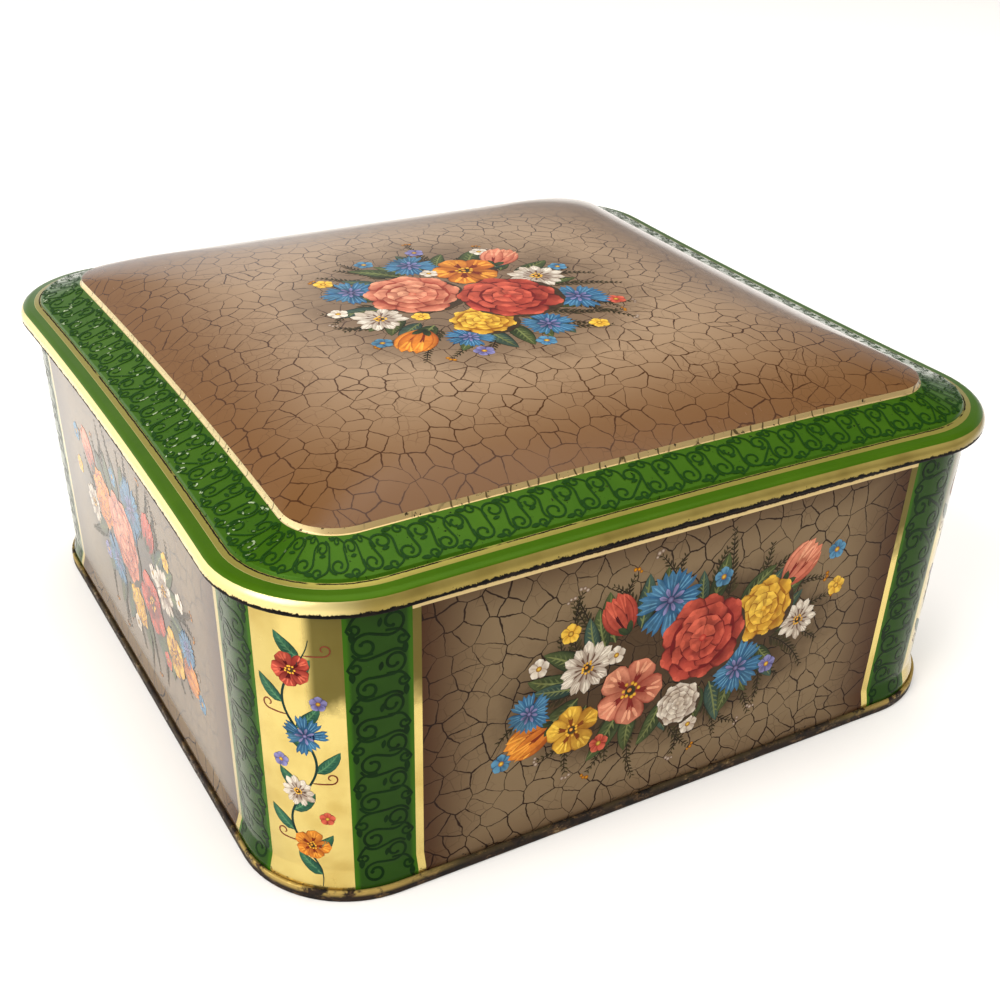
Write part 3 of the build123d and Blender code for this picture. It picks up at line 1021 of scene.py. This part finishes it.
def rosette(ink, at, radius, family):
    """A full bloom: rings of petals, each dark where the next ring shades it."""
    mid, dark, light = family
    shade(ink, at, radius)
    rings = ((1.0, 9, 0.7, 0.66), (0.76, 8, 0.6, 0.56), (0.53, 6, 0.56, 0.4), (0.3, 4, 0.44, 0.1))
    for place, (reach, petals, wide, cover) in enumerate(rings):
        if place:
            ink.disc(at, radius * reach * 1.02, dark, mixed(dark, mid, 0.3))
        begin = place * 0.5 + vary(-0.1, 0.1)
        for number in range(petals):
            angle = 2 * pi * (number + begin) / petals + vary(-0.08, 0.08)
            size = radius * reach * vary(0.92, 1.06)
            body = lit(family, 0.35 * cos(angle - 2.2) + 0.16 * place + vary(-0.12, 0.18))
            ink.blade(at, angle, size, radius * wide * vary(0.9, 1.1), mixed(body, dark, 0.5),
                      mixed(body, light, 0.5), dark, 0.74, 0.5, vary(-0.12, 0.12), cover=cover)
            glow = polar(at, size * (cover + 1) / 2 * 1.08, angle)
            ink.blade(glow, angle, size * (1 - cover) * 0.34, radius * wide * 0.34, mixed(body, light, 0.4),
                      mixed(body, light, 0.75), mixed(body, light, 0.35), 0.6, 0.5)
    ink.disc(at, radius * 0.08, light, mid)


def anemone(ink, at, radius, family, shaded=True):
    start = vary(0, 1)
    if shaded:
        shade(ink, at, radius * 0.86)
    for number in range(5):
        angle = 2 * pi * (number + start) / 5 + vary(-0.1, 0.1)
        petal(ink, at, angle, radius * vary(0.92, 1.06), radius * 0.9, family, 0.68, 0.45,
              vary(-0.15, 0.15), 0.1)
    stamens(ink, at, radius * 0.26)


def daisy(ink, at, radius, family, petals=12):
    for number in range(petals):
        angle = 2 * pi * number / petals + vary(-0.1, 0.1)
        petal(ink, at, angle, radius * vary(0.85, 1.06), radius * 0.42, family, 0.66, 0.6,
              vary(-0.2, 0.2), 0.35)
    stamens(ink, at, radius * 0.24, 11)


def cornflower(ink, at, radius, petals=8):
    mid, dark, light = BLUES
    ink.disc(at, radius * 0.5, dark, dark)
    for number in range(petals):
        angle = 2 * pi * number / petals + vary(-0.14, 0.14)
        size = radius * vary(0.84, 1.1)
        ink.blade(at, angle, size, radius * 0.6, dark, mixed(mid, light, vary(0.2, 0.6)), mid,
                  ragged=radius * 0.1)
        for lean in (-0.2, 0.0, 0.2):
            path = [polar(at, size * share, angle + lean) for share in (0.45, 0.7, 0.97)]
            ink.stroke(curve_path(path, 1.0), radius * 0.05, mixed(mid, light, vary(0.5, 1.0)),
                       taper=(0.1, 0.1))
    for number in range(petals):
        angle = 2 * pi * (number + 0.5) / petals
        ink.blade(at, angle, radius * vary(0.42, 0.55), radius * 0.16, dark, VIOLETS[2], VIOLETS[1], 0.7, 0.8)
    ink.disc(at, radius * 0.13, VIOLETS[2], VIOLETS[1])


def tulip(ink, at, angle, size, family):
    """A cup seen from the side; at is its base."""
    for lean, length, wide in ((-0.5, 0.92, 0.34), (0.5, 0.92, 0.34), (0.0, 0.96, 0.4), (-0.24, 1.0, 0.36),
                               (0.24, 1.0, 0.36)):
        petal(ink, at, angle + lean, size * length, size * wide, family, 0.5, 0.7, -lean * 1.1, 0.4)
    for lean in (-0.5, 0.5):
        ink.blade(at, angle + lean, size * 0.3, size * 0.14, LEAVES[1], LEAVES[0], LEAVES[1], 0.5)


def tiny(ink, at, family, radius=2.8):
    mid, dark, light = family
    for number in range(5):
        ink.blade(at, 2 * pi * number / 5 + 0.3, radius, radius * 0.95, mid, light, dark, 0.64, 0.5)
    ink.disc(at, radius * 0.28, YELLOW_LIGHT, YELLOW_DARK)


# Leaves
def leaf(ink, at, angle, length, bend, family=LEAVES):
    """A leaf with a lit side, a midrib and side veins."""
    mid, dark, light = family
    ink.blade(at, angle, length, length * 0.38, mixed(dark, mid, 0.4), mixed(mid, light, 0.2), dark,
              0.42, 0.75, bend)
    spine = []
    for number in range(9):
        share = number / 8 * 0.94
        spine.append(polar(at, length * share, angle + bend / 2 * share))
    for number, base in enumerate(spine[1:7], 1):
        for side, share in ((-1, 0.35), (1, 0.7)):
            reach = length * 0.17 * sin(pi * (number + 1) / 9)
            tip = polar(base, reach, angle + bend * number / 8 + side * 0.7)
            middle = ((base[0] + tip[0]) / 2, (base[1] + tip[1]) / 2)
            ink.stroke([base, middle, tip], length * 0.035, mixed(mid, light, share), taper=(0.6, 0.1))
    ink.stroke(spine, length * 0.035, mixed(mid, light, 0.9), taper=(0.6, 0.1))


def sprig(ink, at, angle, length, bend, buds):
    """A bent stem with paired narrow leaflets, and perhaps buds at its tip."""
    path, spot = [], at
    count = ceil(length / 0.7)
    for number in range(count + 1):
        turn = angle + bend * number / count
        path.append(spot)
        spot = polar(spot, length / count, turn)
        if number > 2 and number % 2 == 0:
            for side in (-1, 1):
                grown = 3.0 * (1.2 - 0.8 * number / count) * vary(0.8, 1.1)
                tint = mixed(FERN, FERN_DARK, vary(0.0, 0.8))
                ink.blade(path[-1], turn + side * vary(0.6, 0.85), grown, grown * 0.3, FERN_DARK, tint,
                          tint, 0.5, 0.8)
    ink.stroke(path, 0.3, FERN_DARK)
    if buds:
        for side in (-0.7, 0.0, 0.7):
            ink.disc(polar(path[-1], 1.5, angle + bend + side), vary(0.4, 0.65), buds[0], buds[1])


# Scrolls
def coil(centre, reach, inner, start, sweep):
    """A spiral from its outer end to its inner one."""
    count = max(12, ceil(abs(sweep) * reach / 0.9))
    path = []
    for number in range(count + 1):
        t = number / count
        path.append(polar(centre, reach + (inner - reach) * t ** 0.85, start + sweep * t))
    return path


def scroll(a, b, side, bend, turns, inner=0.32):
    """An S (bend 1) or a C (bend -1) out of spiral a and into spiral b, each (x, y, radius)."""
    away, heading = hypot(b[0] - a[0], b[1] - a[1]), atan2(b[1] - a[1], b[0] - a[0])
    leave = heading + side * acos(max(-1.0, min(1.0, (a[2] + bend * b[2]) / away)))
    enter = leave + (pi if bend > 0 else 0.0)
    first = coil(a, a[2], a[2] * inner, leave, side * turns[0] * 2 * pi)
    second = coil(b, b[2], b[2] * inner, enter, side * bend * turns[1] * 2 * pi)
    return first[::-1] + curve_path([first[0], second[0]], 0.9)[1:-1] + second


def scroll_band(ink, start, length, width, step, colour, line):
    """Pairs of linked spirals in two rows, small curls on the free sides and leaf dashes in the gaps."""
    units = 2 * round(length / step / 2)
    step = length / units
    spots = [(start + (number + 0.5 + vary(-0.1, 0.1)) * step,
              width * (0.5 + (-0.2 if number % 2 == 0 else 0.2) + vary(-0.03, 0.03)),
              width * vary(0.2, 0.24)) for number in range(units)]

    def draw(path, share=1.0):
        ink.stroke(path, line * share, colour, 0.02, (0.8, 0.8))
        ink.disc(path[-1], line * 0.72 * share, colour, colour)

    def dash(x, y, angle, size):
        ink.blade((x, y), angle, size, size * 0.46, colour, colour, colour, 0.5, 0.7)

    for number, spot in enumerate(spots):
        low_row = number % 2 == 0
        turn = 1 if low_row else -1
        following = spots[number + 1] if number + 1 < units else None
        if low_row and following:
            bend = 1 if chance.random() < 0.75 else -1
            path = scroll(spot, following, -1, bend, (vary(1.05, 1.25), vary(1.05, 1.25)))
            draw(path)
            ink.disc(path[0], line * 0.72, colour, colour)
        elif following:
            ink.stroke(scroll(spot, following, 1, 1, (0.2, 0.2), 0.98), line, colour, 0.02, (0.8, 0.8))
        x = spot[0]
        free = width * (0.875 if low_row else 0.125)
        small = width * vary(0.1, 0.12)
        at = (x + step * vary(-0.1, 0.1), free)
        curl = coil(at, small, small * 0.4, turn * pi * 0.55, turn * 2 * pi * vary(0.8, 1.0))
        stalk = [(x + step * 0.6, width * (0.6 if low_row else 0.4)),
                 (x + step * 0.48, free - turn * width * 0.03)]
        draw(curve_path(stalk + curl[:1], 0.7)[:-1] + curl, 0.92)
        dash(x - step * 0.72, width * (0.92 if low_row else 0.08), vary(-0.15, 0.15), width * 0.22)
        if low_row:
            dash(x + step * 0.8, width * 0.5, 0.2, width * 0.17)


# Places on the tin, from (along, up, lift)
def along_line(line, runs, distance):
    """Place and outward direction on a section line at a distance along it."""
    distance = min(max(distance, 0.0), runs[-1] - 1e-6)
    number = max(i for i in range(len(runs) - 1) if runs[i] <= distance)
    a, b = line[number], line[number + 1]
    share = (distance - runs[number]) / (runs[number + 1] - runs[number])
    size = hypot(b[0] - a[0], b[1] - a[1])
    return mixed(a, b, share), ((b[1] - a[1]) / size, -(b[0] - a[0]) / size)


def skin_place(plan, line, runs):
    def place(along, up, lift):
        point, out = plan.at(along)
        (away, height), (side, rise) = along_line(line, runs, up)
        away, height = away + side * lift, height + rise * lift
        return (point[0] + out[0] * away, point[1] + out[1] * away, height)
    return place


def dome_place(along, up, lift):
    hit = lid_tree.ray_cast(Vector((along * MM, up * MM, 0.2)), Vector((0, 0, -1)))
    return tuple((hit[0] + hit[1] * lift * MM) / MM)


def moved(place, along, up):
    return lambda a, u, lift: place(a + along, u + up, lift)


def upright(start, way):
    """Turned, so that along runs up the wall and up runs away from a corner."""
    return lambda a, u, lift: wall_place(start + way * u, a, lift)


lid_tree = BVHTree.FromObject(lid_skin, bpy.context.evaluated_depsgraph_get())
lid_place = skin_place(lid_plan, offset(lid_line, -SHEET / 2), lid_run)
wall_outside = offset(wall_line, -SHEET / 2)
wall_place = skin_place(body_plan, wall_outside, lengths(wall_outside))
WALL_START = wall_outside[0][1]
CORNER_MIDDLES = [SIDE + CORNER_RUN / 2 + QUARTER * side for side in range(4)]

# Scroll band round the lid
lid_scrolls = Print(moved(lid_place, 0.0, SCROLL_LOW + 0.75))
scroll_band(lid_scrolls, 0.0, lid_plan.length, SCROLL_HIGH - SCROLL_LOW - 1.0, 4.4, SCROLL_INK, 0.5)
lid_scrolls.build("lid_scrollwork", "lid", raised_ink)

# Scroll bands beside the corners of the wall, drawn upwards
BAND_MARGIN = 0.6
BAND_WIDTH = BAND_END - BAND_START - 2 * BAND_MARGIN
BAND_FOOT, BAND_LENGTH = 3.4, 73.6
wall_scrolls = Print()
for middle in CORNER_MIDDLES:
    for way in (-1, 1):
        wall_scrolls.turn_to(upright(middle + way * (BAND_START + BAND_MARGIN), way))
        first = len(wall_scrolls.faces)
        scroll_band(wall_scrolls, BAND_FOOT, BAND_LENGTH, BAND_WIDTH, 5.4, WALL_INK, 0.68)
        if way > 0:
            wall_scrolls.faces[first:] = [face[::-1] for face in wall_scrolls.faces[first:]]
wall_scrolls.build("wall_scrollwork", "box", printed_ink)


# Posy on the lid and garland on each wall panel
def foliage(ink, reach, count, length):
    """Leaves and ferns that fan out of an ellipse, ferns first."""
    for ferns in (True, False):
        for number in range(count):
            angle = 2 * pi * (number + (0.0 if ferns else 0.5)) / count + vary(-0.12, 0.12)
            base = (reach[0] * cos(angle) * 0.66, reach[1] * sin(angle) * 0.66)
            out = atan2(sin(angle) / reach[1], cos(angle) / reach[0])
            grown = length * vary(0.75, 1.2)
            turn = out + vary(-0.4, 0.4)
            if ferns:
                bend = vary(-1.0, 1.0)
                sprig(ink, base, turn, grown * 1.45, bend, chance.choice((YELLOWS, WHITES, None, None)))
            else:
                leaf(ink, base, turn, grown, vary(-0.6, 0.6), LEAVES if number % 3 else BLUE_LEAVES)


def lid_posy(ink):
    foliage(ink, (34, 33), 26, 13.5)
    for x, y, family in ((34, 9, BLUES), (-35, 3, WHITES), (4, -35, BLUES), (20, 29, WHITES),
                         (-14, 33, BLUES), (35, -19, REDS), (-33, -19, BLUES), (-30, 24, YELLOWS),
                         (22, -31, YELLOWS), (-13, -34, VIOLETS), (3, 36, VIOLETS)):
        tiny(ink, (x, y), family)
    tulip(ink, (18, 17), 0.85, 15, SALMONS)
    tulip(ink, (-20, -16), -2.3, 15, ORANGES)
    for x, y, size in ((-3, 27, 7.0), (27, -13, 7.6), (-26, 15, 7.2), (10, -26, 6.8), (-12, -25, 5.6)):
        cornflower(ink, (x, y), size)
    for kind, x, y, size, family in ((daisy, 25, 5, 8.2, WHITES), (daisy, -27, -5, 7.4, WHITES),
                                     (rosette, -4, -17, 8.8, YELLOWS), (anemone, 9, 17, 9.8, ORANGES),
                                     (rosette, -12, 7, 13.0, SALMONS), (rosette, 10, -5, 14.0, REDS)):
        kind(ink, (x, y), size, family)
    tiny(ink, (-1, 19), WHITES, 2.6)
    tiny(ink, (-17, -8), YELLOWS, 2.6)


def wall_garland(ink, main, second, third, way):
    """Falls from the upper left to the lower right, or the other way round where way is -1."""
    foliage(ink, (42, 19), 30, 13.0)
    for x, y, family in ((-12, 19, BLUES), (38, 9, WHITES), (-30, -12, VIOLETS), (20, -19, REDS),
                         (-49, 6, YELLOWS), (47, -15, BLUES), (-7, -23, WHITES), (30, 16, YELLOWS),
                         (-47, 17, BLUES)):
        tiny(ink, (way * x, y), family)
    for x, y, lean, size, family in ((-31, 11, 0.75, 14, SALMONS), (33, -8, -1.95, 14, ORANGES),
                                     (14, 11, -0.45, 13, REDS)):
        tulip(ink, (way * x, y), pi / 2 + way * lean, size, family)
    for x, y, size in ((3, 17, 8.4), (-20, -10, 7.2), (40, -3, 5.4)):
        cornflower(ink, (way * x, y), size)
    middle = SALMONS if main is REDS else REDS
    for kind, x, y, size, family in ((daisy, 25, 5, 7.4, WHITES), (daisy, -38, -1, 6.0, WHITES),
                                     (anemone, 28, -12, 7.4, YELLOWS), (rosette, -3, -15, 6.6, third),
                                     (rosette, -26, 6, 9.0, second), (anemone, 12, -6, 9.6, main),
                                     (rosette, -8, 3, 12.4, middle)):
        kind(ink, (way * x, y), size, family)
    tiny(ink, (way * 17, 6), WHITES, 2.6)


lid_flowers = Print(moved(dome_place, -5.0, -3.0))
lid_posy(lid_flowers)
lid_flowers.build("lid_flowers", "lid", printed_ink)

wall_flowers = Print()
for side in range(4):
    wall_flowers.turn_to(moved(wall_place, SIDE / 2 + QUARTER * side, 42.0 - WALL_START))
    if side % 2:
        wall_garland(wall_flowers, SALMONS, YELLOWS, WHITES, -1)
    else:
        wall_garland(wall_flowers, REDS, ORANGES, YELLOWS, 1)
wall_flowers.build("wall_flowers", "box", printed_ink)


# Climbing stem on each gold corner
def stem_place(height):
    return (3.4 * sin(height / 34 * 2 * pi + 0.6), height)


def corner_vine(ink):
    for number, height in enumerate(range(7, 72, 6)):
        side = 1 if number % 2 else -1
        leaf(ink, stem_place(height), pi / 2 - side * 0.95, 8.4, side * 0.5, VINE_LEAVES)
    ink.stroke(curve_path([stem_place(height) for height in range(4, 74, 2)]), 0.55, VINE_LEAVES[1])
    for height, side in ((16, -1), (34, 1), (52, -1), (68, 1)):
        x, y = stem_place(height)
        loop = coil((x + side * 4.6, y + 1.8), 1.6, 0.5, -pi / 2, side * 2 * pi * 0.95)
        tendril = curve_path([(x, y), (x + side * 2.4, y + 0.05), loop[0]])[:-1] + loop
        ink.stroke(tendril, 0.34, TENDRIL_INK)
    anemone(ink, (-1.0, 64), 4.7, REDS, shaded=False)
    cornflower(ink, (1.2, 47), 4.5, 7)
    daisy(ink, (-1.4, 31), 4.3, WHITES, 11)
    anemone(ink, (1.0, 15.5), 4.4, ORANGES, shaded=False)
    tiny(ink, (4.6, 56), VIOLETS, 2.0)
    tiny(ink, (-5.0, 39), VIOLETS, 2.0)
    tiny(ink, (5.0, 24), REDS, 1.9)


vines = Print()
for middle in CORNER_MIDDLES:
    vines.turn_to(moved(wall_place, middle, -WALL_START))
    corner_vine(vines)
vines.build("corner_vines", "box", printed_ink)

# Floor
floor_look = Look("floor")
floor_look.set(base_color=rgb(248, 244, 238), roughness=0.9)
FLOOR_HALF = 3000
corners = [(x * FLOOR_HALF, y * FLOOR_HALF, 0) for x, y in ((-1, -1), (1, -1), (1, 1), (-1, 1))]
floor = mesh_object("floor", corners, [(0, 1, 2, 3)])
floor.data.materials.append(floor_look.material)

# World: white where the camera sees it, soft grey light elsewhere, paler low down and to the left
world = bpy.data.worlds.new("studio")
bpy.context.scene.world = world
world.use_nodes = True
sky = Nodes(world.node_tree)
backdrop = sky.tree.nodes["Background"]
backdrop.inputs["Color"].default_value = (1, 1, 1, 1)
heading = sky.add("ShaderNodeTexCoord").outputs["Generated"]
x, y, z = (sky.axis(heading, number) for number in range(3))
low = sky.between(sky.rise(z, 0.2, 0.85), 1.0, 0.2)
right_side = sky.times(sky.rise(x, 0.25, 0.6), -0.5)
behind = sky.times(sky.rise(y, 0.3, 0.8), -0.22)
front = sky.times(sky.rise(y, 0.1, -0.8), -0.35)
left_back = sky.times(sky.rise(x, -0.25, -0.5), sky.rise(y, 0.0, 0.4))
gloss = sky.most(sky.plus(sky.plus(low, behind), sky.plus(right_side, front)), 0.1)
gloss = sky.plus(gloss, left_back)
rays = sky.add("ShaderNodeLightPath")
level = sky.between(rays.outputs["Is Glossy Ray"], 0.5, gloss)
sky.put(backdrop.inputs["Strength"], sky.between(rays.outputs["Is Camera Ray"], level, 1.0))


# Lamps, places and sizes in metres
def softbox(name, place, size, power):
    light = bpy.data.lights.new(name, "AREA")
    light.shape = "SQUARE"
    light.size = size
    light.energy = power
    made = bpy.data.objects.new(name, light)
    made.location = place
    made.rotation_euler = (Vector((0, 0, 0.05)) - Vector(place)).to_track_quat("-Z", "Y").to_euler()
    bpy.context.scene.collection.objects.link(made)


softbox("key", (-1.6, -0.35, 1.2), 1.3, 34.0)
softbox("top", (0.2, 0.1, 1.9), 1.7, 28.0)
softbox("fill", (1.3, -0.9, 0.9), 1.0, 3.0)

# Camera, solved from the printed lines and the outline of the photograph
CAMERA_PLACE = Vector((-168.115, -303.350, 225.328))
SENSOR_WIDTH = 36
FOCAL_LENGTH = 1.33526 * SENSOR_WIDTH
azimuth, elevation, roll = radians(-30.4721), radians(35.791), radians(1.7492)
back = Vector((sin(azimuth) * cos(elevation), -cos(azimuth) * cos(elevation), sin(elevation)))
right = Vector((cos(azimuth), sin(azimuth), 0))
up = back.cross(right)
camera_right = right * cos(roll) + up * sin(roll)
camera_up = up * cos(roll) - right * sin(roll)
camera_data = bpy.data.cameras.new("camera")
camera_data.sensor_fit = "HORIZONTAL"
camera_data.sensor_width = SENSOR_WIDTH
camera_data.lens = FOCAL_LENGTH
camera_data.shift_x = 0.0016
camera_data.shift_y = 0.166
camera_data.clip_start, camera_data.clip_end = 0.01, 20
camera = bpy.data.objects.new("camera", camera_data)
axes = Matrix((camera_right, camera_up, back)).transposed().to_4x4()
camera.matrix_world = Matrix.Translation(CAMERA_PLACE * MM) @ axes
bpy.context.scene.collection.objects.link(camera)
bpy.context.scene.camera = camera
bpy.context.scene.view_settings.view_transform = "Standard"
